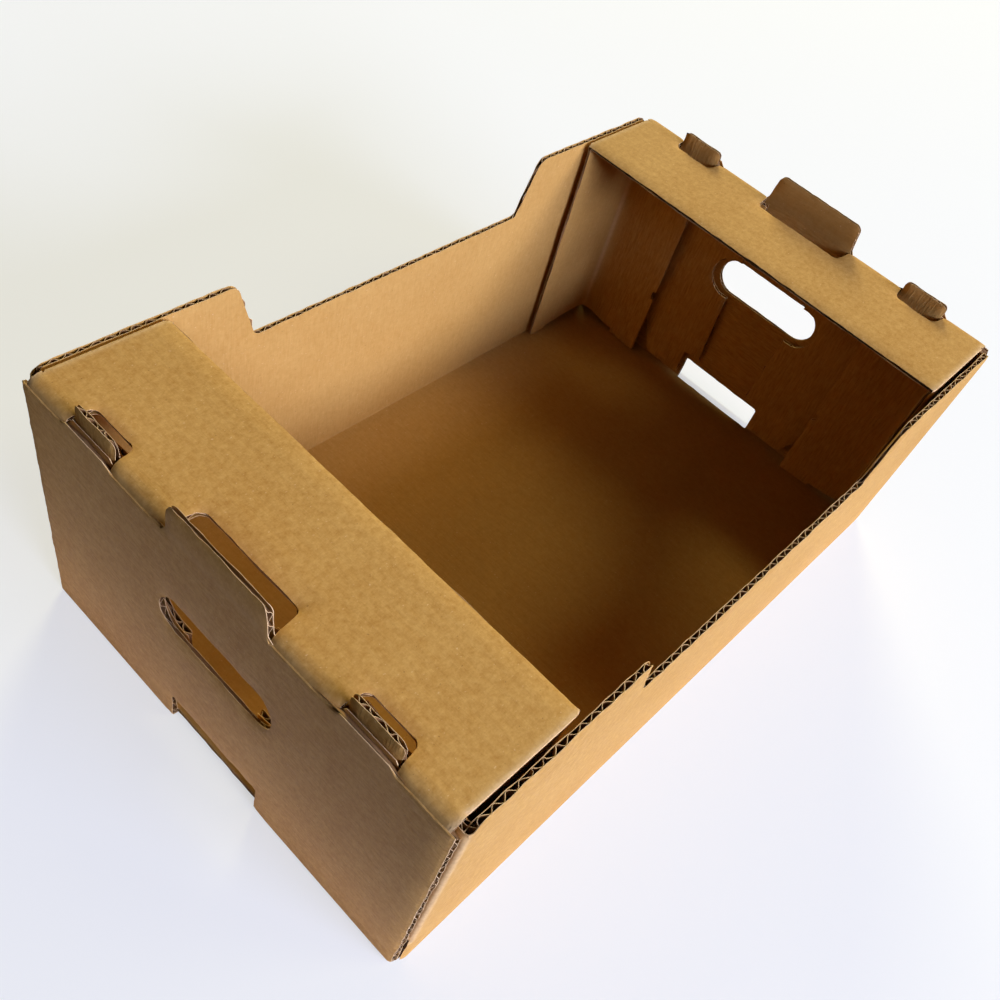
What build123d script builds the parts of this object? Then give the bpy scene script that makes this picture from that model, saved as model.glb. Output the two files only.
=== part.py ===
"""Stacking tray box, folded from one die-cut sheet of single-wall corrugated board.

The base turns up into two long side walls and two end walls. Each side wall ends in two flaps
that lie behind the end walls and carry the locking tabs. Each end wall folds over at its top
into a ledge with hanging side skirts, and each skirt turns behind the flap as a corner return.
The ledges lift off their locking tabs, so each is a part of its own here.

Millimetres, +X along the tray, +Y across it, +Z up from the floor, origin in the middle below.
"""
import os

from build123d import *

# Board
board = 4.0                 # thickness of the corrugated board
fold_radius = 2.5           # outer radius of a creased fold
fold_gap = 0.2              # parting line where a ledge turns over its end wall

# Tray
tray_length = 500.0
tray_width = 298.0
end_height = 175.0          # floor to the top face of the ledges
end_inset = 1.5             # end walls stop this far inside the side walls' faces
side_height = 174.0
low_height = 134.0          # lowered middle of the side walls
low_half_length = 112.0     # foot of each shoulder, from the middle of the tray
shoulder_run = 13.0         # length over which a shoulder rises
shoulder_foot_radius = 4.0
shoulder_top_radius = 8.0
corner_ramp = 7.0           # side wall's top drops over this length to meet the flap's fold

# End flaps of the side walls, behind the end walls
flap_gap = 1.0              # end wall's inner face to the flap
flap_top_gap = 0.5          # flap's top edge to the ledge's underside
flap_foot_gap = 4.0         # flap's bottom edge to the base
flap_edge_top = 31.0        # free edge, from the tray's middle line
flap_edge_foot = 23.0
flap_relief_start = 69.0    # bottom edge is cut up from here towards the corner
flap_relief_run = 11.0
flap_relief_rise = 24.0

# Locking tabs on the flaps, and their slots in the ledges
lock_center = 94.4          # from the tray's middle line
lock_slot_half = 17.6       # at the fold
lock_slot_depth = 16.5
lock_slot_taper = 2.4       # each end of the slot leans in by this over its depth
lock_slot_radius = 4.5
lock_clearance = 0.6        # tab's end to the slot's end
lock_rise = 8.0             # tab above the ledge
lock_tab_radius = 3.5

# Stacking tabs on the end walls, and the slots below that take the next tray's tabs
stack_tab_half = 35.0       # at its foot
stack_tab_rise = 17.5
stack_tab_taper = 2.0
stack_tab_radius = 5.0
stack_hole_depth = 19.6     # hole that the tab leaves in the ledge
stack_hole_clearance = 0.6
stack_slot_half = 36.0
stack_slot_height = 22.5
stack_slot_radius = 2.0
flap_slot_margin = 2.0      # flap is cut wider than the slot on each side
flap_slot_headroom = 8.5    # and higher

# Hand holes in the end walls
hand_hole_length = 84.6
hand_hole_height = 26.5
hand_hole_center = 107.5
flap_hole_length = 94.0     # flap is cut back round the hand hole
flap_hole_height = 31.0

# Ledges with their skirts and corner returns
ledge_depth = 79.5
ledge_side_gap = 2.2        # ledge and skirt to the side wall
skirt_foot_gap = 1.0        # skirts and returns to the base
return_gap = 0.6            # corner return to the flap
return_length = 64.0
return_angle = 3.5          # degrees that the return stands open from the end wall
return_drop = 9.8           # return's top edge below the ledge's top face
relief_rise = 6.0           # cut-away at the foot of the skirt's fold
relief_end_rise = 2.5
relief_on_skirt = 53.0
relief_on_return = 38.0
nick_height = 61.0          # small nick in the return's free edge
nick_depth = 3.0
nick_width = 8.0

# Places worked out from the driving dimensions
half_length = tray_length / 2
half_width = tray_width / 2
end_half_width = half_width - end_inset
flap_x = half_length - board - flap_gap
flap_inner_x = flap_x - board
flap_top = end_height - board - flap_top_gap
flap_foot = board + flap_foot_gap
lock_top = end_height + lock_rise
stack_top = end_height + stack_tab_rise
ledge_half = half_width - board - ledge_side_gap
ledge_edge = half_length - ledge_depth
return_x = flap_inner_x - return_gap
return_top = end_height - return_drop
skirt_foot = board + skirt_foot_gap
over = 1.0                  # how far a cutting shape runs past the face it cuts

FLOOR = (Align.CENTER, Align.CENTER, Align.MIN)


def across(profile, half_reach):
    """Runs a profile drawn in X and Z to both sides of the middle line."""
    return extrude(Plane.XZ * profile, half_reach, both=True)


def along(profile, start, end):
    """Runs a profile drawn in Y and Z from one place on X to another."""
    return extrude(Plane.YZ.offset(start) * profile, end - start)


def up(profile, foot, top):
    """Runs a profile drawn in plan from one height to another."""
    return extrude(Plane.XY.offset(foot) * profile, top - foot)


def outline(*points):
    """Closed face through plain points."""
    return make_face(Polyline(*points, close=True))


def rounded(face, radius, *corners):
    """Rounds the corners of a face that lie at the given points."""
    picked = [v for v in face.vertices() if any((v.center() - Vector(*c)).length < 0.01 for c in corners)]
    return fillet(picked, radius)


def mirrored(shape, plane):
    """The shape with its mirror image."""
    return shape + mirror(shape, about=plane)


def block(start, end, half_reach, foot, top):
    """Plain block between two places on X, centred on the middle line."""
    size = (end - start, 2 * half_reach, top - foot)
    return Pos((start + end) / 2, 0, foot) * Box(*size, align=FLOOR)


def tapered(foot_half, depth, taper, radius):
    """Outline of a die-cut tab or slot: foot on the X axis, rounded far corners."""
    face = outline((-foot_half, -over), (foot_half, -over), (foot_half, 0), (foot_half - taper, depth),
                   (taper - foot_half, depth), (-foot_half, 0))
    return rounded(face, radius, (foot_half - taper, depth), (taper - foot_half, depth))


def side_wall_outline():
    """Side wall seen from the side: high ends, rounded shoulders and a low middle."""
    foot = low_half_length
    top = low_half_length + shoulder_run
    ramp = flap_x - corner_ramp
    half = [(foot, low_height), (top, side_height), (ramp, side_height), (flap_x, flap_top), (flap_x, 0)]
    points = half + [(-x, z) for x, z in reversed(half)]
    face = outline(*points)
    face = rounded(face, shoulder_foot_radius, (foot, low_height), (-foot, low_height))
    return rounded(face, shoulder_top_radius, (top, side_height), (-top, side_height))


def hand_hole(length, height):
    """Round-ended hole at the height of the hands."""
    return Pos(0, hand_hole_center) * SlotOverall(length, height)


def stacking_slot(margin, headroom):
    """Slot at the foot of an end wall, open below."""
    half = stack_slot_half + margin
    height = stack_slot_height + headroom
    face = outline((-half, -over), (half, -over), (half, height), (-half, height))
    return rounded(face, stack_slot_radius, (half, height), (-half, height))


def flap_outline():
    """End flap of a side wall with its locking tab, cut back round the openings of the end wall."""
    relief = flap_relief_start + flap_relief_run
    reach = half_width + over
    tab_half = lock_slot_half - lock_slot_taper / 2 - lock_clearance
    panel = outline((flap_edge_foot, flap_foot), (flap_relief_start, flap_foot),
                    (relief, flap_foot + flap_relief_rise), (reach, flap_foot + flap_relief_rise),
                    (reach, flap_top), (flap_edge_top, flap_top))
    tab = outline((-tab_half, -board), (tab_half, -board), (tab_half, lock_top - flap_top),
                  (-tab_half, lock_top - flap_top))
    tab = rounded(tab, lock_tab_radius, (tab_half, lock_top - flap_top), (-tab_half, lock_top - flap_top))
    panel += Pos(lock_center, flap_top) * tab
    panel -= hand_hole(flap_hole_length, flap_hole_height)
    return panel - stacking_slot(flap_slot_margin, flap_slot_headroom)


def turned_edge():
    """Section of the fold between an end wall and its ledge, whole."""
    outer = outline((half_length, 0), (half_length, end_height), (ledge_edge, end_height), (ledge_edge, 0))
    outer = rounded(outer, fold_radius, (half_length, end_height))
    inner = outline((half_length - board, -over), (half_length - board, end_height - board),
                    (ledge_edge - over, end_height - board), (ledge_edge - over, -over))
    return outer - inner


def above_mitre(offset):
    """Everything on the ledge's side of the mitre through the fold, moved up by an offset."""
    low = 2 * board
    level = end_height + offset
    return outline((half_length + board, level + board), (half_length - low, level - low),
                   (ledge_edge - over, level - low), (ledge_edge - over, level + board))


def fold_zones():
    """Stretches of the end wall's top, on one side, where the ledge folds over."""
    lean = lock_slot_taper * board / lock_slot_depth
    lock_half = lock_slot_half - lean - fold_gap
    return [(stack_tab_half, lock_center - lock_half), (lock_center + lock_half, half_width)]


def base_and_end_walls():
    """Base with both end walls: one U-shaped section, with the openings cut through the ends."""
    section = outline((-half_length, 0), (half_length, 0), (half_length, end_height),
                      (-half_length, end_height))
    section = rounded(section, fold_radius, (half_length, 0), (-half_length, 0))
    section -= outline((board - half_length, board), (half_length - board, board),
                       (half_length - board, end_height + over), (board - half_length, end_height + over))
    walls = across(section, end_half_width)
    walls -= along(hand_hole(hand_hole_length, hand_hole_height), -half_length - over, half_length + over)
    slot = along(stacking_slot(0, 0), half_length - board, half_length + over)
    tab = tapered(stack_tab_half, stack_tab_rise, stack_tab_taper, stack_tab_radius)
    tab = along(Pos(0, end_height) * tab, half_length - board, half_length)
    corner = outline((half_length - board, end_height - board), (half_length + over, end_height - board),
                     (half_length + over, end_height + over), (half_length - board, end_height + over))
    chamfer_waste = corner - (turned_edge() - above_mitre(-fold_gap / 2))
    for start, end in fold_zones():
        strip = Pos(0, (start + end) / 2, 0) * across(chamfer_waste, (end - start) / 2)
        slot += mirrored(strip, Plane.XZ)
    return walls - mirrored(slot, Plane.YZ) + mirrored(tab, Plane.YZ)


def side_walls_and_flaps():
    """Side walls with their end flaps, turned at rounded corner folds."""
    plan = outline((-flap_x, -half_width), (flap_x, -half_width), (flap_x, half_width), (-flap_x, half_width))
    plan = fillet(plan.vertices(), fold_radius)
    inset = half_width - fold_radius
    corner = outline((inset, -over), (half_width + over, -over),
                     (half_width + over, fold_radius), (inset, fold_radius))
    corner -= Pos(inset, fold_radius) * Circle(fold_radius)
    skin = up(plan, 0, lock_top) - mirrored(along(corner, -flap_x - over, flap_x + over), Plane.XZ)
    hollow = block(-flap_x - over, flap_x + over, half_width - board, board, lock_top + over)
    walls = (skin & across(side_wall_outline(), half_width)) - hollow
    reach = half_width + over
    ends = block(flap_inner_x, flap_x + over, reach, board, lock_top + over)
    ends += block(flap_x - fold_radius, flap_x + over, reach, 0, flap_foot + flap_relief_rise)
    flap = mirrored(along(flap_outline(), flap_inner_x, flap_x), Plane.XZ)
    return (walls - mirrored(ends, Plane.YZ)) + (mirrored(flap, Plane.YZ) & skin)


def tray():
    """Everything of the sheet that stays put: base, side walls, end flaps and end walls."""
    return base_and_end_walls() + side_walls_and_flaps()


def skirt_plan():
    """Skirt and corner return seen from above, at the far right corner."""
    skirt = outline((ledge_edge, ledge_half - board), (return_x, ledge_half - board),
                    (return_x, ledge_half), (ledge_edge, ledge_half))
    turn = outline((-board, 0), (0, 0), (0, -return_length), (-board, -return_length))
    corner = skirt + Pos(return_x, ledge_half) * Rot(0, 0, -return_angle) * turn
    return skirt, rounded(corner, fold_radius, (return_x, ledge_half))


def skirt_reliefs():
    """Cut-aways at the foot of the skirt's fold, and the nick in the return's free edge."""
    foot = skirt_foot - over
    rise = skirt_foot + relief_rise
    end_rise = skirt_foot + relief_end_rise
    skirt_end = return_x - relief_on_skirt
    on_skirt = outline((skirt_end, foot), (half_length, foot), (half_length, rise), (skirt_end, end_rise))
    on_skirt = Pos(0, ledge_half - board / 2, 0) * across(on_skirt, board)
    fold_y = ledge_half - board
    return_end = ledge_half - relief_on_return
    on_return = outline((return_end, foot), (fold_y, foot), (fold_y, rise), (return_end, end_rise))
    on_return = along(on_return, ledge_edge + board, half_length)
    edge = ledge_half - return_length
    deep = edge + nick_depth
    nick = outline((edge - over, nick_height - nick_width / 2), (deep, nick_height - nick_width / 4),
                   (deep, nick_height + nick_width / 4), (edge - over, nick_height + nick_width / 2))
    return on_skirt + on_return + along(nick, return_x - 4 * board, half_length)


def right_ledge():
    """Ledge with its skirts and corner returns, cut for the stacking tab and the locking tabs."""
    shelf = across(turned_edge() & above_mitre(fold_gap / 2), ledge_half)
    skirt, corner = skirt_plan()
    legs = up(corner, skirt_foot, return_top) + up(skirt, return_top, end_height - board / 2)
    legs -= skirt_reliefs()
    section = outline((-ledge_half, 0), (ledge_half, 0), (ledge_half, end_height),
                      (-ledge_half, end_height))
    section = rounded(section, fold_radius, (ledge_half, end_height), (-ledge_half, end_height))
    ledge = (shelf + mirrored(legs, Plane.XZ)) & along(section, ledge_edge, half_length)
    hole = tapered(stack_tab_half + stack_hole_clearance, stack_hole_depth, stack_tab_taper, stack_tab_radius)
    slot = tapered(lock_slot_half, lock_slot_depth, lock_slot_taper, lock_slot_radius)
    slot = Pos(lock_center, 0) * slot
    holes = Pos(half_length, 0) * Rot(0, 0, 90) * (hole + mirrored(slot, Plane.YZ))
    return ledge - up(holes, end_height - 2 * board, end_height + over)


os.makedirs("parts", exist_ok=True)
ledge = right_ledge()
export_step(tray(), "parts/tray.step")
export_step(ledge, "parts/right_ledge.step")
export_step(mirror(ledge, about=Plane.YZ), "parts/left_ledge.step")
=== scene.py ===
"""Stacking tray box of plain kraft corrugated board, cut from one blank, folded and locked.

The sheet is dressed as real board: two paper liners on a fluted medium, open at every cut edge.
"""
import math

import bmesh
import bpy
import numpy as np
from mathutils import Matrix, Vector, noise
from mathutils.geometry import delaunay_2d_cdt
from mathutils.kdtree import KDTree


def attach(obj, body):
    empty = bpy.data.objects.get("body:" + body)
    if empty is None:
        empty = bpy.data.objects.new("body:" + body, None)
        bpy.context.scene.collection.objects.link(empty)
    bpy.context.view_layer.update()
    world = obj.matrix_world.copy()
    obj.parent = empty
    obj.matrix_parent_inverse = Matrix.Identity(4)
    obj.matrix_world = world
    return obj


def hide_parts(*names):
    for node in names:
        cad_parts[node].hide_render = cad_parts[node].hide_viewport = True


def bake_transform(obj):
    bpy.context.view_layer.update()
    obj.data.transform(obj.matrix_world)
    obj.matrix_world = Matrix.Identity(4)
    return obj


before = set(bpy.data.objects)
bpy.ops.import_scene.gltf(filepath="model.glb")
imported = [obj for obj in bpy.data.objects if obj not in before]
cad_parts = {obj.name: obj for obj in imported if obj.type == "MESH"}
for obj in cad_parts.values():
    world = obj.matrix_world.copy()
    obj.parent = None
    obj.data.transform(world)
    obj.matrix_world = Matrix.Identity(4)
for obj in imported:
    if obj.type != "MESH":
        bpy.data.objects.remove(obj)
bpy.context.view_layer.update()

# The tray: one die-cut sheet of single-wall kraft board. Its base turns up into two end walls
# and two long side walls, and each side wall's ends turn in behind the end walls as flaps with a
# locking tab. The blank is drawn flat, in millimetres, and every point of it is then folded.
BOARD = 4.0
LINER = 0.36
FLUTE = 7.7  # from one flute to the next
WAVE = 1.45  # the fluting's rise to either side of the board's middle
MEDIUM = 0.15  # half the fluting's own thickness
LENGTH, WIDTH = 500.0, 298.0
FLAP_X = 245.0  # the side walls' ends fold here
LEDGE_Z = 175.0
TOP = LENGTH / 2 + LEDGE_Z  # in the blank, an end wall's top and its ledge's fold
SLIT = 242.75  # in the blank, where the slits beside each end wall end
STACK_HALF = 35.9  # half the width of a stacking tab, with its gap
LOCK_MIDDLE, LOCK_HALF = 94.4, 17.6  # where a lock slot lies along an end wall's top
TORN = 1.9  # how far the end walls' upright cuts are torn back
ROLL, ROLL_REACH = 3.0, 6.0  # the rolled fold at an end wall's top
SAG, SAG_REACH = 2.8, 8.5  # the ledges sag towards their folds
CRUSH_REACH, MOST_CRUSHED = 4.5, 0.62  # how far in from a cut, and how much of the thickness
CREASE_WEAR_AND_HIGHLIGHT = 2.6  # how far from a crease the paper is paler: scuffed paper and a painted highlight


def bend(along, depth, turn=math.pi / 2, outer=2.5, inner=0.45, reach=5.0):
    """Section through a crease: a sheet that runs along it and turns up by an angle.

    along is measured on the sheet from the outer corner, depth in from the outer face. The outer
    liner goes round softly, and the inner one is crushed into the corner.
    """
    radius = np.maximum(outer + (inner - outer) * depth / BOARD, inner)
    tan = math.tan(turn / 2)
    straight = reach - (depth + radius) * tan
    arc = turn * radius
    s = (np.clip(along, -reach, reach) + reach) / (2 * reach) * (2 * straight + arc)
    angle = np.clip((s - straight) / radius, 0, turn)
    before = np.minimum(s, straight)
    after = np.maximum(s - straight - arc, 0)
    x = -reach + before + radius * np.sin(angle) + after * math.cos(turn)
    y = depth + radius * (1 - np.cos(angle)) + after * math.sin(turn)
    far = along > reach
    x = np.where(along < -reach, along, x)
    y = np.where(along < -reach, depth, y)
    x = np.where(far, along * math.cos(turn) - depth * math.sin(turn), x)
    y = np.where(far, along * math.sin(turn) + depth * math.cos(turn), y)
    return x, y


def ease(value, low, high):
    """Soft step from 0 at low to 1 at high."""
    t = np.clip((value - low) / (high - low), 0, 1)
    return t * t * (3 - 2 * t)


def sag(away):
    """How much lower a ledge lies near its fold."""
    return SAG * (1 - np.clip(np.abs(away) / SAG_REACH, 0, 1)) ** 2


def cut_line(corners, step=3.0, arc_step=1.1, straight=1.55):
    """Closed cut through corners (x, y, radius), with points at most a step apart.

    A corner whose half angle is past straight, in radians, gets no arc.
    """
    points = []
    for i, (x, y, radius) in enumerate(corners):
        here = np.array((x, y), float)
        back = np.array(corners[i - 1][:2], float) - here
        on = np.array(corners[(i + 1) % len(corners)][:2], float) - here
        back /= np.linalg.norm(back)
        on /= np.linalg.norm(on)
        half = math.acos(max(-1.0, min(1.0, float(back @ on)))) / 2
        if radius == 0 or half > straight:
            points.append(here)
            continue
        middle = (back + on) / np.linalg.norm(back + on)
        centre = here + middle * radius / math.sin(half)
        first = here + back * radius / math.tan(half) - centre
        last = here + on * radius / math.tan(half) - centre
        turn = math.atan2(first[0] * last[1] - first[1] * last[0], float(first @ last))
        count = max(3, int(abs(turn) * radius / arc_step) + 1)
        for k in range(count + 1):
            c, s = math.cos(turn * k / count), math.sin(turn * k / count)
            points.append(centre + (first[0] * c - first[1] * s, first[0] * s + first[1] * c))
    line = []
    for a, b in zip(points, points[1:] + points[:1]):
        count = max(1, math.ceil(np.linalg.norm(b - a) / step))
        line += [a + (b - a) * k / count for k in range(count)]
    return np.array(line)


def frayed(line, amount, keep):
    """The cut as the knife leaves it: it wanders in by a fraction of a millimetre."""
    after = np.roll(line, -1, 0)
    area = np.sum(line[:, 0] * after[:, 1] - line[:, 1] * after[:, 0])
    ahead = (after - np.roll(line, 1, 0)) * np.sign(area)
    side = np.stack([-ahead[:, 1], ahead[:, 0]], 1) / np.linalg.norm(ahead, axis=1)[:, None]
    out = line.copy()
    for i, (x, y) in enumerate(line):
        if not keep(x, y):
            coarse = noise.noise((x * 0.11, y * 0.11, 3.7))
            fine = noise.noise((x * 0.6, y * 0.6, 9.1))
            out[i] += side[i] * amount * (0.5 + 0.6 * coarse + 0.7 * fine)
    return out


def inside(points, loops, share=2000):
    """Which points lie within the blank, holes left out; a share of them at a time."""
    x0, y0 = np.concatenate(loops).T
    x1, y1 = np.concatenate([np.roll(loop, -1, 0) for loop in loops]).T
    slope = (x1 - x0) / np.where(y1 == y0, 1, y1 - y0)
    hit = []
    for part in np.array_split(points, len(points) // share + 1):
        x, y = part[:, :1], part[:, 1:]
        crosses = ((y0 > y) != (y1 > y)) & (x < x0 + (y - y0) * slope)
        hit.append(crosses.sum(1) % 2 == 1)
    return np.concatenate(hit)


def thinned(points, gap):
    """The points with those left out that lie closer than a gap to an earlier one."""
    found = KDTree(len(points))
    for i, point in enumerate(points):
        found.insert((*point, 0), i)
    found.balance()
    gone = set()
    for i, point in enumerate(points):
        if i not in gone:
            gone.update(k for _, k, _ in found.find_range((*point, 0), gap) if k > i)
    return np.array([point for i, point in enumerate(points) if i not in gone])


def filled(loops, rows, columns, rings=(1.3, 3.0), off_cut=1.0, apart=0.75):
    """Triangles of the flat blank, with points where rows and columns cross and along each cut.

    rings are how far from a cut its extra points lie. None comes nearer to it than off_cut, and
    no two of them come nearer to each other than apart.
    """
    x, y = np.meshgrid(columns, rows)
    grid = np.stack([x.ravel(), y.ravel()], 1)
    for loop in loops:
        ahead = np.roll(loop, -1, 0) - np.roll(loop, 1, 0)
        side = np.stack([-ahead[:, 1], ahead[:, 0]], 1) / np.linalg.norm(ahead, axis=1)[:, None]
        for away in rings:
            for sign in (-1, 1):
                grid = np.concatenate([loop + side * away * sign, grid])
    grid = grid[inside(grid, loops)]
    edge = np.concatenate(loops)
    kept = []
    found = KDTree(len(edge) + len(grid))
    for i, e in enumerate(edge):
        found.insert((*e, 0), i)
    found.balance()
    for g in grid:
        if found.find((*g, 0))[2] > off_cut:
            kept.append(g)
    points = np.concatenate([edge, thinned(np.array(kept), apart)])
    lines, start = [], 0
    for loop in loops:
        lines += [(start + i, start + (i + 1) % len(loop)) for i in range(len(loop))]
        start += len(loop)
    verts, _, faces, *_ = delaunay_2d_cdt([Vector(p) for p in points], lines, [], 0, 1e-5)
    verts = np.array([tuple(v) for v in verts])
    faces = np.array([tuple(f) for f in faces])
    middle = verts[faces].mean(1)
    return verts, faces[inside(middle, loops)]


class Sheet:
    """Mesh of one folded blank, gathered part by part. Points keep their places in the blank."""

    def __init__(self, fold, loops, keep, pressed=lambda x, y: 0.0, gap=0.8):
        """The loops are its cuts, felt at points a gap apart; keep says where one is a fold."""
        self.fold, self.loops, self.pressed = fold, loops, pressed
        self.points, self.blank, self.wear, self.faces, self.slots = [], [], [], [], []
        self.count = 0
        cuts = []
        for loop in loops:
            for a, b in zip(loop, np.roll(loop, -1, 0)):
                if not keep(*((a + b) / 2)):
                    length = np.linalg.norm(b - a)
                    for t in np.arange(0, 1, gap / max(length, gap)):
                        cuts.append((*(a + (b - a) * t), abs(b[1] - a[1]) / max(length, 1e-6)))
        self.cuts = KDTree(len(cuts))
        for i, (x, y, along) in enumerate(cuts):
            self.cuts.insert((x, y, 0), i)
        self.cuts.balance()
        self.along = [along for _, _, along in cuts]

    def crushed(self, u, v, depth, side):
        """The knife crushes the board at a cut, most where the cut runs along the flutes.

        The fluting between the liners leans over there, here one way and there the other.
        """
        core = BOARD / 2
        lean, out = np.array(u, float), np.array(depth, float)
        for i, (x, y) in enumerate(zip(u, v)):
            _, k, away = self.cuts.find((x, y, 0))
            if away < CRUSH_REACH:
                near = math.exp(-((away / 2.0) ** 2))
                uneven = 0.3 * noise.noise((x * 0.12, y * 0.12, 1.3))
                much = 0.18 + 0.34 * self.along[k] ** 2 + uneven
                much = min(much + self.pressed(x, y), MOST_CRUSHED)
                out[i] = core + (out[i] - core) * (1 - max(much, 0) * near)
                if side == 0:
                    way = noise.noise((x * 0.17, y * 0.17, 6.1))
                    lean[i] += 3.4 * way * near * (1 - abs(depth[i] - core) / 2.4)
        return lean, out

    def add(self, u, v, depth, faces, slots, side):
        """Takes in one paper, folded: side is -1 on the outer liner, 1 on the inner, else 0."""
        leaning, depth = self.crushed(u, v, depth, side)
        x, y, z, wear = self.fold(leaning, v, depth)
        self.points.append(np.stack([x, y, z], 1))
        self.wear.append(wear)
        self.blank.append(np.stack([u, v, np.full(len(u), float(side))], 1))
        self.faces += [tuple(i + self.count for i in f) for f in faces]
        self.slots += slots
        self.count += len(u)

    def liner(self, verts, faces, outer):
        """One paper liner: a thin closed sheet on the outer or the inner face of the board."""
        low, high = (0.0, LINER) if outer else (BOARD - LINER, BOARD)
        n = len(verts)
        rim = {}
        for a, b, c in faces:
            for i, j in ((a, b), (b, c), (c, a)):
                if (j, i) in rim:
                    del rim[(j, i)]
                else:
                    rim[(i, j)] = True
        solid = [(a, c, b) for a, b, c in faces] + [(a + n, b + n, c + n) for a, b, c in faces]
        slots = [0] * len(solid) + [2] * len(rim)
        solid += [(i, j, j + n, i + n) for i, j in rim]
        both = np.concatenate([verts, verts])
        depth = np.repeat([low, high], n)
        self.add(both[:, 0], both[:, 1], depth, solid, slots, -1 if outer else 1)

    def fluting(self, rows, seen=12.5, least=0.4, short=0.15):
        """The fluted paper between the liners, as far in from each cut as it can be seen.

        It is made in strips, twelve to a flute, which end just short of a cut. None of them is
        shorter than least.
        """
        loops = self.loops
        step = FLUTE / 12
        low, high = loops[0][:, 0].min(), loops[0][:, 0].max()
        first, last = math.ceil(low / step), math.floor(high / step)

        def spans(u):
            cuts = []
            for loop in loops:
                (x0, y0), (x1, y1) = loop.T, np.roll(loop, -1, 0).T
                on = (x0 > u) != (x1 > u)
                cuts += list((y0 + (u - x0) / np.where(x1 == x0, 1, x1 - x0) * (y1 - y0))[on])
            cuts.sort()
            pairs = zip(cuts[::2], cuts[1::2])
            return [(a + short, b - short) for a, b in pairs if b - a > 10 * short]

        us, vs, ds, faces, slots = [], [], [], [], []
        for k in range(first, last):
            left, right = k * step, (k + 1) * step
            a, b = spans(left + 1e-3), spans(right - 1e-3)
            moved = [abs(p[0] - q[0]) + abs(p[1] - q[1]) for p, q in zip(a, b)]
            if len(a) != len(b) or any(shift > 6 for shift in moved):
                a = b = spans((left + right) / 2)
            for (a0, a1), (b0, b1) in zip(a, b):
                lo, hi = max(a0, b0), min(a1, b1)
                stops = [r for r in rows if lo + least < r < hi - least]
                close = (lo + 3, lo + 12, hi - 12, hi - 3)
                stops += [s for s in close if lo + least < s < hi - least]
                stops = [None] + sorted(stops) + [None]
                ends = [(a0, b0)] + [(s, s) for s in stops[1:-1]] + [(a1, b1)]
                for (p0, q0), (p1, q1) in zip(ends, ends[1:]):
                    middle = (p0 + p1) / 2
                    if middle - lo > seen and hi - middle > seen:
                        sides = np.array([(left - 9, middle), (right + 9, middle)])
                        if inside(sides, loops).all():
                            continue
                    base = len(us)
                    for u, v in ((left, p0), (right, q0), (right, q1), (left, p1)):
                        uneven = 0.5 * noise.noise((u * 0.04, 0.3, 5.1))
                        phase = 2 * math.pi * u / FLUTE + uneven
                        slope = WAVE * 2 * math.pi / FLUTE * math.cos(phase)
                        lean = MEDIUM / math.hypot(1, slope)
                        for sign in (-1, 1):
                            us.append(u - sign * slope * lean)
                            vs.append(v)
                            ds.append(BOARD / 2 + WAVE * math.sin(phase) + sign * lean)
                    faces.append((base, base + 6, base + 4, base + 2))
                    faces.append((base + 1, base + 3, base + 5, base + 7))
                    slots += [1, 1]
                    if (p0, q0) == (a0, b0):
                        faces.append((base, base + 2, base + 3, base + 1))
                        slots.append(2)
                    if (p1, q1) == (a1, b1):
                        faces.append((base + 6, base + 7, base + 5, base + 4))
                        slots.append(2)
        self.add(np.array(us), np.array(vs), np.array(ds), faces, slots, 0)

    def piece(self, name):
        """The Blender object, in metres."""
        mesh = bpy.data.meshes.new(name)
        mesh.from_pydata(np.concatenate(self.points) / 1000, [], self.faces)
        mesh.polygons.foreach_set("material_index", self.slots)
        place = mesh.attributes.new("blank", "FLOAT_VECTOR", "POINT")
        place.data.foreach_set("vector", np.concatenate(self.blank).astype(np.float32).ravel())
        wear = mesh.attributes.new("wear", "FLOAT", "POINT")
        wear.data.foreach_set("value", np.concatenate(self.wear).astype(np.float32))
        work = bmesh.new()
        work.from_mesh(mesh)
        bmesh.ops.remove_doubles(work, verts=work.verts, dist=1e-6)
        work.to_mesh(mesh)
        work.free()
        mesh.polygons.foreach_set("use_smooth", [True] * len(mesh.polygons))
        mesh.set_sharp_from_angle(angle=math.radians(38))
        made = bpy.data.objects.new(name, mesh)
        bpy.context.scene.collection.objects.link(made)
        return made


def creased(away, elsewhere):
    """How much paler the paper is, from its distance to a crease: scuffed paper and partly a
    painted highlight.
    """
    return np.where(elsewhere, 0, np.exp(-((away / CREASE_WEAR_AND_HIGHLIGHT) ** 2)))


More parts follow.
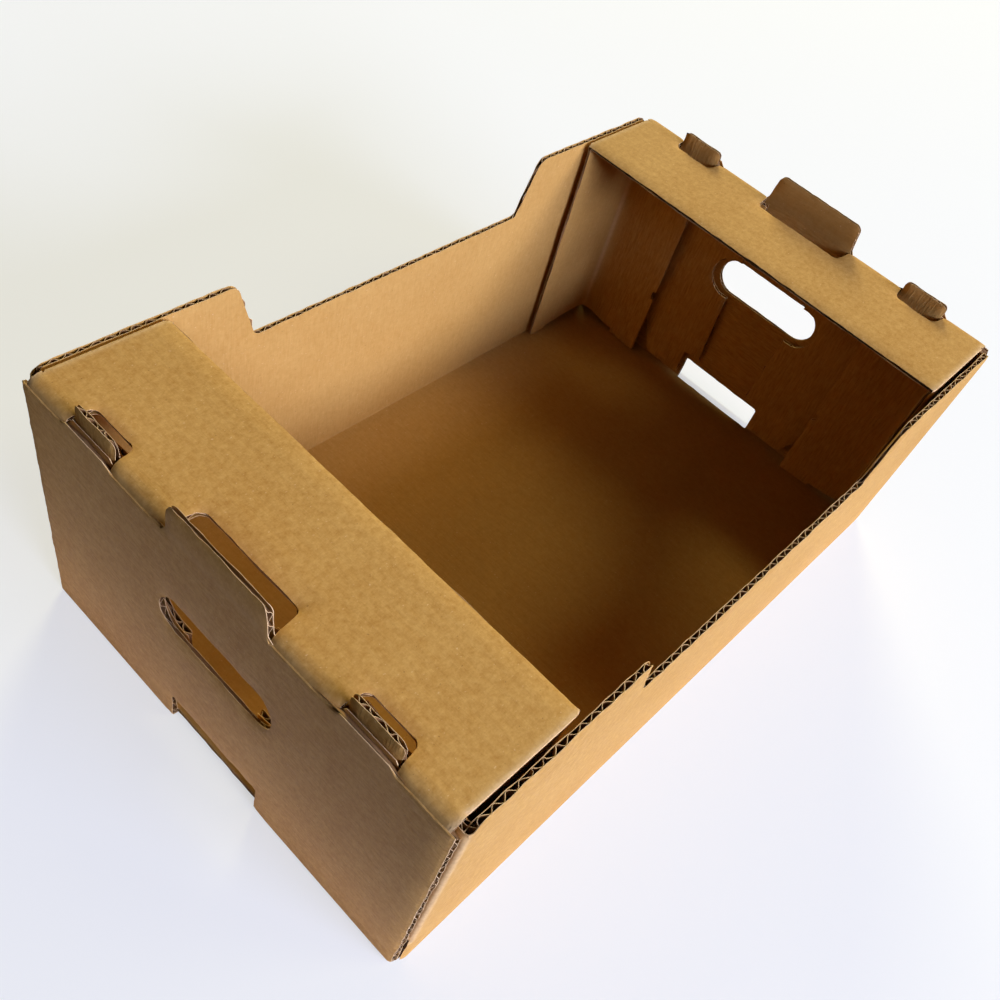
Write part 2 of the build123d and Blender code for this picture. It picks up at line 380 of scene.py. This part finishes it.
def tray_fold(u, v, depth):
    """Where a point of the tray's blank goes.

    Past the slits' ends the blank is an end wall near the middle and end flaps further out. An end
    wall turns up from the base and then rolls over at its top, but not at the stacking tab or
    the locking tabs' slots. Its upright cuts are torn back on the outer face.
    """
    across, up = np.abs(u), np.abs(v)
    end = (across > SLIT) & (up < 148.2)
    flap_turn = np.where(across > 260, 1, ease(up, 175, 181))
    a, b = bend(across - FLAP_X, depth)
    x = across + (FLAP_X + a - across) * flap_turn
    inward = depth + (b - depth) * flap_turn
    c, z = bend(up - WIDTH / 2, inward)
    y = WIDTH / 2 + c
    a, b = bend(across - LENGTH / 2, depth)
    below = across - LENGTH / 2 - LEDGE_Z
    over, into = bend(below, depth, outer=ROLL, reach=ROLL_REACH)
    standing = across > 400
    end_x = np.where(standing, LENGTH / 2 - depth, LENGTH / 2 + a)
    end_z = np.where(standing, across - LENGTH / 2, b)
    turning = 1 - ease(STACK_HALF - up, 0, 0.9)
    turning = turning - ease(LOCK_HALF - np.abs(up - LOCK_MIDDLE), 0, 0.9)
    turning = np.where(below > -SAG_REACH, turning, 0)
    end_x += (LENGTH / 2 - into - end_x) * turning
    end_z += (LEDGE_Z + over - sag(below) - end_z) * turning
    torn = TORN + 0.15 * np.sin(across * 0.83) + 0.12 * np.sin(across * 2.1)
    torn *= ease(up, 143, 147.5) * (1 - depth / BOARD)
    x = np.where(end, end_x, x) * np.sign(u + 1e-9)
    y = np.where(end, up - torn, y) * np.sign(v + 1e-9)
    # Paler along the creases: scuffed paper, and partly a painted highlight along each fold.
    crease_wear_and_highlight = creased(np.abs(across - FLAP_X), end | (up < 178))
    crease_wear_and_highlight = crease_wear_and_highlight + creased(np.abs(up - WIDTH / 2), across > FLAP_X)
    crease_wear_and_highlight += creased(np.abs(across - LENGTH / 2), ~end)
    crease_wear_and_highlight += creased(np.abs(below), ~end) * 0.2
    return x, y, np.where(end, end_z, z), crease_wear_and_highlight * np.where(depth > BOARD / 2, 0.2, 1)


SIDE_TOP = 323.0
TAB_TOP = 332.0
FLAP_TOP = 319.5
# A quarter of the tray's blank from its middle outwards, as corners (u, v, radius).
quarter = [
    # a side wall's edge, lowered in the middle, and its shoulder
    (0, 283, 0), (112, 283, 4), (125, SIDE_TOP, 8), (238, SIDE_TOP, 3), (245, FLAP_TOP, 0),
    # the end flap's top with the locking tab
    (283.8, FLAP_TOP, 0), (283.8, TAB_TOP, 3.5), (315.4, TAB_TOP, 3.5), (315.4, FLAP_TOP, 0),
    # its free edge, cut back round the hand hole and over the slot at the foot
    (363, FLAP_TOP, 1), (365.4, 272, 0), (362.5, 272, 0), (347.2, 272, 15.3), (347.2, 241, 15.3),
    (362.5, 241, 0), (366.8, 241, 1), (369.8, 180, 1), (356, 180, 2), (356, 157, 0.5),
    (325, 157, 1), (314, 181, 1),
    # the side wall's foot at the corner, and the slit beside the end wall
    (245.6, 181, 0), (245.6, 153, 0), (242.5, 150.5, 0), (242.5, 144.4, 0), (243, 144.4, 0),
    # the end wall's upright cut, its top with a lock slot, and the stacking tab
    (243, 147.5, 0), (TOP, 147.5, 0), (TOP, 111.6, 0), (TOP, 77.2, 0), (TOP, 35, 0),
    (442.5, 33, 5), (442.5, 0, 0)]
half = quarter[:-1] + [(u, -v, r) for u, v, r in reversed(quarter[1:-1])]
outline = half + [(-u, v, r) for u, v, r in [(0, -283, 0)] + list(reversed(half[1:]))]


def keep_tray(x, y):
    """Where the tray's outline is no cut: at the ledges' folds, and in the slits' ends."""
    return abs(abs(x) - TOP) < 0.5 or abs(abs(x) - SLIT) < 0.5


def pressed_tray(x, y):
    """The locking tabs' tops and the end walls' upright cuts are pressed thinner than the rest."""
    tab = abs(x) > 283 and abs(y) > 326
    upright = LENGTH / 2 < abs(x) < TOP and 140 < abs(y) < 150
    return 0.24 if tab or upright else 0.0


# In each end wall, the hand hole and the slot at the foot, which a stacking tab fits from below.
HAND_U, HAND_HALF, HAND_RISE, HAND_RADIUS = 357.5, 42.3, 13.25, 13.2
SLOT_LOW, SLOT_HIGH, SLOT_HALF = 246.3, 272.5, 36
tray_cuts = [frayed(cut_line(outline[::-1]), 0.3, keep_tray)]
for end in (-1, 1):
    hand = [(end * HAND_U + HAND_RISE * a, HAND_HALF * b, HAND_RADIUS)
            for a, b in ((-1, -1), (1, -1), (1, 1), (-1, 1))]
    foot = [(end * a, SLOT_HALF * b, r) for a, b, r in
            ((SLOT_LOW, -1, 0.4), (SLOT_HIGH, -1, 2), (SLOT_HIGH, 1, 2), (SLOT_LOW, 1, 0.4))]
    tray_cuts += [frayed(cut_line(hand), -0.2, keep_tray), frayed(cut_line(foot), -0.2, keep_tray)]

CREASE = (-5, -3.6, -2.4, -1.6, -0.8, 0, 0.8, 1.6, 2.4, 3.6, 5)


def marks(low, high, gap, folds):
    """Places for grid lines: even ones, and close ones at each fold."""
    even = [k for k in np.arange(low, high, gap) if all(abs(k - f) > 6.8 for f in folds)]
    close = [f + c * (ROLL_REACH / 5 if abs(f) == TOP else 1) for f in folds for c in CREASE]
    return sorted(even + [k for k in close if low < k < high])


class Socket:
    """A socket in a material's nodes. A sum that is written with it becomes Math nodes."""

    def __init__(self, tree, end=None):
        self.tree, self.end = tree, end

    def node(self, kind, settings, values, output=0):
        made = self.tree.nodes.new("ShaderNode" + kind)
        for name, value in settings.items():
            setattr(made, name, value)
        for name, value in values.items():
            if isinstance(value, Socket):
                self.tree.links.new(value.end, made.inputs[name])
            else:
                made.inputs[name].default_value = value
        return Socket(self.tree, made.outputs[output])

    def sum(self, operation, *values):
        return self.node("Math", {"operation": operation}, dict(enumerate(values)))

    def __add__(self, other):
        return self.sum("ADD", self, other)

    def __sub__(self, other):
        return self.sum("SUBTRACT", self, other)

    def __rsub__(self, other):
        return self.sum("SUBTRACT", other, self)

    def __mul__(self, other):
        return self.sum("MULTIPLY", self, other)

    __radd__, __rmul__ = __add__, __mul__

    def step(self, low, high):
        return self.node("MapRange", {"interpolation_type": "SMOOTHSTEP"},
                         {"Value": self, "From Min": low, "From Max": high})

    def over(self, amount, colour):
        return self.node("Mix", {"data_type": "RGBA"}, {0: amount, 6: self, 7: colour}, 2)


def colour(red, green, blue):
    """A colour as it is read off a sample, 0 to 255, made linear."""
    return tuple(((c / 255 + 0.055) / 1.055) ** 2.4 for c in (red, green, blue)) + (1.0,)


def new_material(name):
    """A new material, its nodes and its shader."""
    made = bpy.data.materials.new(name)
    made.use_nodes = True
    return made, made.node_tree, made.node_tree.nodes["Principled BSDF"]


def paper(name, light, dark, liner=False):
    """Unbleached kraft paper: brown fibres along the roll, cloudy, with a few dark specks.

    Its grain follows the places in the blank. Each grain is given by its size along and across
    in millimetres. The end walls' liner is drawn tight, so its streaks show most.
    """
    made, tree, shader = new_material(name)
    root = Socket(tree)
    place = root.node("Attribute", {"attribute_name": "blank"}, {}, "Vector")
    u = root.node("SeparateXYZ", {}, {0: place}, 0)
    side = root.node("SeparateXYZ", {}, {0: place}, 2)
    wear = root.node("Attribute", {"attribute_name": "wear"}, {}, "Fac")

    def grain(along, across, apart, detail=2.0):
        scaled = root.node("VectorMath", {"operation": "MULTIPLY"},
                           {0: place, 1: (1 / along, 1 / across, apart)})
        return root.node("TexNoise", {}, {"Vector": scaled, "Scale": 1.0, "Detail": detail,
                                          "Roughness": 0.55})

    cloud = grain(90, 60, 3.1)
    mottle = grain(3.4, 3.2, 7.7, 4.0)
    fibre = grain(1.5, 1.0, 11.3, 3.0)
    streak = grain(1.3, 11.0, 14.1, 3.0)
    fleck = grain(1.9, 1.3, 17.9, 1.0)
    speck = grain(1.5, 1.2, 23.1, 1.0)
    wave = root.node("Math", {"operation": "SINE"}, {0: u * (2 * math.pi / FLUTE)}) * side
    blotch = (mottle - 0.5) * 1.3 + (fibre - 0.5) * 0.8
    tone = 0.5 + (cloud - 0.5) * 0.5 + blotch * (0.75 - side * 0.3)
    if liner:
        away = u.sum("ABSOLUTE", u)
        tight = away.step(LENGTH / 2, LENGTH / 2 + 6) * (1 - away.step(TOP - 6, TOP))
        tone = tone + (streak - 0.5) * (0.35 + side * 0.2 + tight * 1.3)
    base = root.node("Mix", {"data_type": "RGBA"}, {0: tone, 6: dark, 7: light}, 2)
    base = base.over(fleck.step(0.70, 0.78) * 0.4, colour(226, 190, 138))
    base = base.over(speck.step(0.74, 0.79) * 0.5, colour(104, 66, 34))
    # Paler at creases: scuffed paper, and partly a painted highlight along the folds.
    base = base.over(wear * (0.25 + mottle * 0.5), colour(226, 188, 134))
    tree.links.new(base.end, shader.inputs["Base Color"])
    rough = 0.78 + (mottle - 0.5) * 0.2 + wear * 0.1
    tree.links.new(rough.end, shader.inputs["Roughness"])
    height = (mottle - 0.5) * 0.05 + (fibre - 0.5) * 0.05 + wear * (fibre - 0.5) * 0.25
    if liner:
        height = height + wave * 0.02 + (streak - 0.5) * (0.1 + tight * 0.3)
    bump = root.node("Bump", {}, {"Strength": 1.0, "Distance": 0.001, "Height": height})
    tree.links.new(bump.end, shader.inputs["Normal"])
    shader.inputs["Specular IOR Level"].default_value = 0.15
    return made


LINER_PAPER = paper("kraft_liner_paper", colour(203, 156, 85), colour(171, 120, 52), True)
MEDIUM_PAPER = paper("fluting_paper", colour(160, 118, 74), colour(116, 82, 48))
CUT_PAPER = paper("cut_paper_edge", colour(232, 198, 146), colour(198, 154, 100))

GRID = 11.0
GRID_U, GRID_V = 440, 322  # how far out the grid goes in the tray's blank
TRAY_ROWS = (-WIDTH / 2, WIDTH / 2)
TRAY_COLUMNS = (-TOP, -LENGTH / 2, -FLAP_X, FLAP_X, LENGTH / 2, TOP)
sheet = Sheet(tray_fold, tray_cuts, keep_tray, pressed_tray)
verts, faces = filled(tray_cuts, marks(-GRID_V, GRID_V, GRID, TRAY_ROWS),
                      marks(-GRID_U, GRID_U, GRID, TRAY_COLUMNS))
sheet.liner(verts, faces, True)
sheet.liner(verts, faces, False)
sheet.fluting(marks(-GRID_V, GRID_V, 2 * GRID, TRAY_ROWS))
tray = sheet.piece("tray_board")
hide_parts("tray")
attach(tray, "tray")


# The two ledges: the ends of the same sheet, folded in from the end walls' tops and pressed down
# over the locking tabs. Each has two skirts turned down along the side walls, and the skirts'
# ends turn in behind the end flaps. They lift off again, so each is a piece of its own.
LEDGE_END = 79.5
SKIRT_Y = 142.8
SKIRT_END = 312.8
RETURN_P = 9.6
RETURN_END = -54.4
RETURN_TOP = 152.6
# Half a ledge, as corners (p, q, radius): p from its fold, q from its middle.
half = [
    # the ledge's free edge, and the skirt's
    (LEDGE_END, 0, 0), (LEDGE_END, SKIRT_END, 0.5),
    # the foot of the skirt and of the corner return, cut up between two feet
    (62.6, SKIRT_END, 0), (62.6, 310.3, 0), (RETURN_P, 306.8, 0), (-28.4, 310.3, 0),
    (-28.4, SKIRT_END, 0), (RETURN_END, SKIRT_END, 1),
    # the corner return's free edge with its small notch, and its top
    (RETURN_END, 260.8, 0), (-51.4, 258.8, 0.6), (-51.4, 254.8, 0.6), (RETURN_END, 252.8, 0),
    (RETURN_END, RETURN_TOP, 1), (RETURN_P, RETURN_TOP, 0),
    # the nick at the corner
    (RETURN_P, 141.3, 0), (9.42, 141.3, 0), (9.42, SKIRT_Y, 0), (0, SKIRT_Y, 0),
    # the lock slot, and half of the stacking tab's hole
    (0, 112.0, 0), (16.5, 109.6, 4.5), (16.5, 79.2, 4.5), (0, 76.8, 0), (0, 35.6, 0),
    (19.6, 33.6, 5)]
whole = half + [(p, -q, r) for p, q, r in reversed(half[1:])]


def ledge_fold(u, v, depth):
    """Where a point of a ledge's part of the blank goes; the left ledge is turned half round.

    The skirt folds down sharply and leans in a little. The corner return's fold is a soft roll,
    turned somewhat past the square.
    """
    end = np.sign(u)
    p, q = np.abs(u) - TOP, v * end
    up = np.abs(q)
    over, into = bend(p, depth, outer=ROLL, reach=ROLL_REACH)
    hinge = (p < 7) & (up < 146)
    back, inward = bend(RETURN_P - p, depth, math.radians(93.5), outer=15, inner=11, reach=19)
    turned = ease(up, 148, RETURN_TOP)
    back = (RETURN_P - p) + (back - (RETURN_P - p)) * turned
    inward = depth + (inward - depth) * turned
    c, e = bend(up - SKIRT_Y, inward, outer=0.7)
    c -= 0.9 * ease(up - SKIRT_Y, 0.5, 8)
    flat = (p < 9.5) & (up < 148)
    x = np.where(flat, LENGTH / 2 - p, LENGTH / 2 - RETURN_P + back)
    x = np.where(hinge, LENGTH / 2 - into, x)
    y = np.where(flat, up, SKIRT_Y + c) * np.sign(q + 1e-9)
    z = np.where(hinge, LEDGE_Z + over, np.where(flat, LEDGE_Z - depth, LEDGE_Z - e))
    z -= np.where(flat, sag(p), 0)
    crease_wear_and_highlight = creased(p, up > 146) * 0.2 + creased(RETURN_P - p, up < 148)
    # The skirt's fold gets the most: scuffed paper and a painted highlight, a crisp cream line.
    crease_wear_and_highlight += creased(up - SKIRT_Y - 0.5, up < 120) * 1.4
    return x * end, y * end, z, crease_wear_and_highlight


def keep_ledge(x, y):
    """Where a ledge's outline is no cut: at its fold, and in the nick at the corner."""
    return abs(abs(x) - TOP) < 0.5 or (abs(abs(x) - 434.5) < 0.3 and abs(y) < 150)


ledges = {}
for end, side in ((-1, "left"), (1, "right")):
    cut = cut_line(whole)
    if np.sum(cut[:, 0] * np.roll(cut[:, 1], -1) - cut[:, 1] * np.roll(cut[:, 0], -1)) < 0:
        cut = cut[::-1]
    cut = (cut + (TOP, 0)) * end
    cut = frayed(cut, 0.3, keep_ledge)
    rows = marks(-SKIRT_END, SKIRT_END, GRID, (-SKIRT_Y, SKIRT_Y))
    columns = marks(TOP + RETURN_END, TOP + LEDGE_END, GRID, (TOP, TOP + RETURN_P))
    sheet = Sheet(ledge_fold, [cut], keep_ledge)
    verts, faces = filled([cut], rows, [end * k for k in columns])
    sheet.liner(verts, faces, True)
    sheet.liner(verts, faces, False)
    sheet.fluting(marks(-SKIRT_END, SKIRT_END, 2 * GRID, (-SKIRT_Y, SKIRT_Y)))
    ledges[side] = sheet.piece(side + "_ledge_board")
    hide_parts(side + "_ledge")
    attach(ledges[side], side + "_ledge")
for piece in (tray, *ledges.values()):
    for finish in (LINER_PAPER, MEDIUM_PAPER, CUT_PAPER):
        piece.data.materials.append(finish)


# The inner paper at each ledge's fold. It lies crumpled in the corner when the ledge is shut. It
# is cut away at the stacking tab's hole and at the two lock slots.
BANDS = ((-141.0, -112.8), (-76.0, -36.6), (36.6, 76.0), (112.8, 141.0))
BAND_REACH, BAND_STEP = 7.0, 0.7
UNDERSIDE, FACE = 0.04, 0.24  # how far off the board's own paper


def corner_line(away):
    """Section down the end wall's inner face and in under the ledge, this far off the paper."""
    line = []
    for s in np.arange(-BAND_REACH, BAND_REACH + 0.01, BAND_STEP):
        x, z = bend(np.array([s]), np.array([BOARD + away]), outer=ROLL, reach=ROLL_REACH)
        line.append((LENGTH / 2 - float(z[0]), LEDGE_Z + float(x[0]) - float(sag(s)), s))
    return line


for end, side in ((-1, "left"), (1, "right")):
    points, blank, faces = [], [], []
    for low, high in BANDS:
        base, line = len(points), corner_line(UNDERSIDE)
        count = len(line)
        for section in (line, corner_line(FACE)):
            for y in (low, high):
                points += [(x * end, y * end, z) for x, z, _ in section]
                blank += [((TOP + s) * end, y * end, 1.0) for _, _, s in section]
        near, far, under, beyond = (base + k * count for k in range(4))
        for i in range(count - 1):
            faces.append((near + i, near + i + 1, far + i + 1, far + i))
            faces.append((under + i, beyond + i, beyond + i + 1, under + i + 1))
            faces.append((near + i, under + i, under + i + 1, near + i + 1))
            faces.append((far + i, far + i + 1, beyond + i + 1, beyond + i))
        faces.append((near, far, beyond, under))
        faces.append((near + count - 1, under + count - 1, beyond + count - 1, far + count - 1))
    mesh = bpy.data.meshes.new(side + "_fold_paper")
    mesh.from_pydata(np.array(points) / 1000, [], faces)
    place = mesh.attributes.new("blank", "FLOAT_VECTOR", "POINT")
    place.data.foreach_set("vector", np.array(blank).ravel())
    wear = mesh.attributes.new("wear", "FLOAT", "POINT")
    # The band is paler all over, as at a crease: scuffed paper and partly a painted highlight.
    wear.data.foreach_set("value", [0.8] * len(points))
    mesh.materials.append(LINER_PAPER)
    work = bmesh.new()
    work.from_mesh(mesh)
    bmesh.ops.recalc_face_normals(work, faces=work.faces)
    work.to_mesh(mesh)
    work.free()
    mesh.polygons.foreach_set("use_smooth", [True] * len(mesh.polygons))
    mesh.set_sharp_from_angle(angle=math.radians(50))
    paper_band = bpy.data.objects.new(side + "_fold_paper", mesh)
    bpy.context.scene.collection.objects.link(paper_band)
    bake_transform(paper_band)


# The studio: a floor that is white to the camera, and white all round. For every other ray the
# floor is pale near the tray and dark further out, a painted pool of light that throws more bounce
# light on the tray's lower faces, and a faint painted glow on the floor before the left end, which
# is no lamp, lights its foot.
FLOOR_HALF = 6.0
HALF_LENGTH, HALF_WIDTH = LENGTH / 2000, WIDTH / 2000


def flat_piece(name, corners):
    """A flat stage piece with four corners, in metres."""
    mesh = bpy.data.meshes.new(name)
    mesh.from_pydata(corners, [], [(0, 1, 2, 3)])
    made = bpy.data.objects.new(name, mesh)
    bpy.context.scene.collection.objects.link(made)
    return made


floor = flat_piece("floor", [(-FLOOR_HALF, -FLOOR_HALF, 0), (FLOOR_HALF, -FLOOR_HALF, 0),
                             (FLOOR_HALF, FLOOR_HALF, 0), (-FLOOR_HALF, FLOOR_HALF, 0)])
floor.location.z = -0.0005
pale_floor, tree, shader = new_material("pale_floor")
shader.inputs["Roughness"].default_value = 0.9
root = Socket(tree)
ray = root.node("LightPath", {}, {}, "Is Camera Ray")
place = root.node("NewGeometry", {}, {}, "Position")
x, y = (root.node("SeparateXYZ", {}, {0: place}, k) for k in (0, 1))
away = x.sum("MAXIMUM", x.sum("ABSOLUTE", x) - HALF_LENGTH, y.sum("ABSOLUTE", y) - HALF_WIDTH)
# Painted pool of light: pale around the tray, dark further out, for every ray but the camera's.
further = away.step(0.06, 0.26) * (1 - ray)
pale = root.node("Mix", {"data_type": "RGBA"},
                 {0: further, 6: (0.8, 0.8, 0.8, 1), 7: (0.05, 0.05, 0.05, 1)}, 2)
tree.links.new(pale.end, shader.inputs["Base Color"])
# Painted glow, no lamp: a patch of floor before the left end that lights that end's foot.
before = (x * -1).step(HALF_LENGTH, 0.26) * (1 - away.step(0.04, 0.14)) * (1 - ray)
glow = root.node("Mix", {"data_type": "RGBA"},
                 {0: before, 6: (0, 0, 0, 1), 7: (0.62, 0.56, 0.9, 1)}, 2)
tree.links.new(glow.end, shader.inputs["Emission Color"])
shader.inputs["Emission Strength"].default_value = 1.0
shine = root.node("Emission", {}, {"Color": (1, 1, 1, 1), "Strength": 1.0})
both = root.node("MixShader", {}, {0: ray * 0.6, 1: Socket(tree, shader.outputs[0]), 2: shine})
tree.links.new(both.end, tree.nodes["Material Output"].inputs["Surface"])
floor.data.materials.append(pale_floor)

# A dark card stands just behind the slot at the right end's foot, and keeps the back lamp from
# shining in along the base. The camera looks through it.
CARD_X, CARD_HALF, CARD_TOP = 0.256, 0.046, 0.032
flag = flat_piece("flag", [(CARD_X, -CARD_HALF, 0), (CARD_X, CARD_HALF, 0),
                           (CARD_X, CARD_HALF, CARD_TOP), (CARD_X, -CARD_HALF, CARD_TOP)])
dark_card, tree, shader = new_material("dark_card")
shader.inputs["Base Color"].default_value = (0.03, 0.03, 0.03, 1)
root = Socket(tree)
clear = root.node("BsdfTransparent", {}, {})
both = root.node("MixShader", {}, {0: root.node("LightPath", {}, {}, "Is Camera Ray"),
                                   1: Socket(tree, shader.outputs[0]), 2: clear})
tree.links.new(both.end, tree.nodes["Material Output"].inputs["Surface"])
flag.data.materials.append(dark_card)

# The room is white where the camera, a reflection or a see-through ray meets it, and else dark.
world = bpy.data.worlds.new("white_room")
world.use_nodes = True
bpy.context.scene.world = world
tree = world.node_tree
root = Socket(tree)
seen = root.node("LightPath", {}, {}, "Is Camera Ray")
for kind in ("Is Glossy Ray", "Is Transmission Ray"):
    seen = seen + root.node("LightPath", {}, {}, kind)
room = tree.nodes["Background"]
room.inputs["Color"].default_value = (1, 1, 1, 1)
tree.links.new(seen.sum("MINIMUM", seen, 1.0).end, room.inputs["Strength"])

# Three lamps, all well away. The key lamp is wide and low on the near side, so the long walls'
# faces are bright while the base and the end faces stay in shade. A weak one stands higher up
# at the right, and one low behind the right end grazes the ledges.
AWAY = 6.0
AIM = Vector((0, 0, 0.1))
LAMPS = [  # name, direction and height in degrees, width, height, watts, tint
    ("key_lamp", 270, 21, 4.6, 1.9, 522, (0.93, 1.06, 1.64)),
    ("top_lamp", 310, 48, 2.2, 2.2, 78, (1.0, 0.95, 0.6)),
    ("back_lamp", 38, 22, 2.2, 2.2, 325, (1.0, 0.95, 0.48)),
]
for name, turn, height, wide, tall, watts, tint in LAMPS:
    lamp = bpy.data.lights.new(name, "AREA")
    lamp.shape = "ELLIPSE"
    lamp.size, lamp.size_y, lamp.energy, lamp.color = wide, tall, watts, tint
    stand = bpy.data.objects.new(name, lamp)
    turn, height = math.radians(turn), math.radians(height)
    towards = Vector((math.cos(height) * math.cos(turn), math.cos(height) * math.sin(turn),
                      math.sin(height)))
    stand.location = towards * AWAY + AIM
    stand.rotation_euler = (-towards).to_track_quat("-Z", "Y").to_euler()
    bpy.context.scene.collection.objects.link(stand)

# The camera stands above the near left corner, where the photograph was taken from.
lens = bpy.data.cameras.new("photograph_camera")
lens.sensor_width = 36
lens.lens = 36.165
lens.shift_x, lens.shift_y = 0.0307, 0.0518
camera = bpy.data.objects.new("photograph_camera", lens)
camera.location = (-0.4006, -0.1960, 0.5312)
camera.rotation_euler = [math.radians(a) for a in (37.297, -11.8795, -45.4732)]
bpy.context.scene.collection.objects.link(camera)
bpy.context.scene.camera = camera
bpy.context.scene.view_settings.view_transform = "Standard"
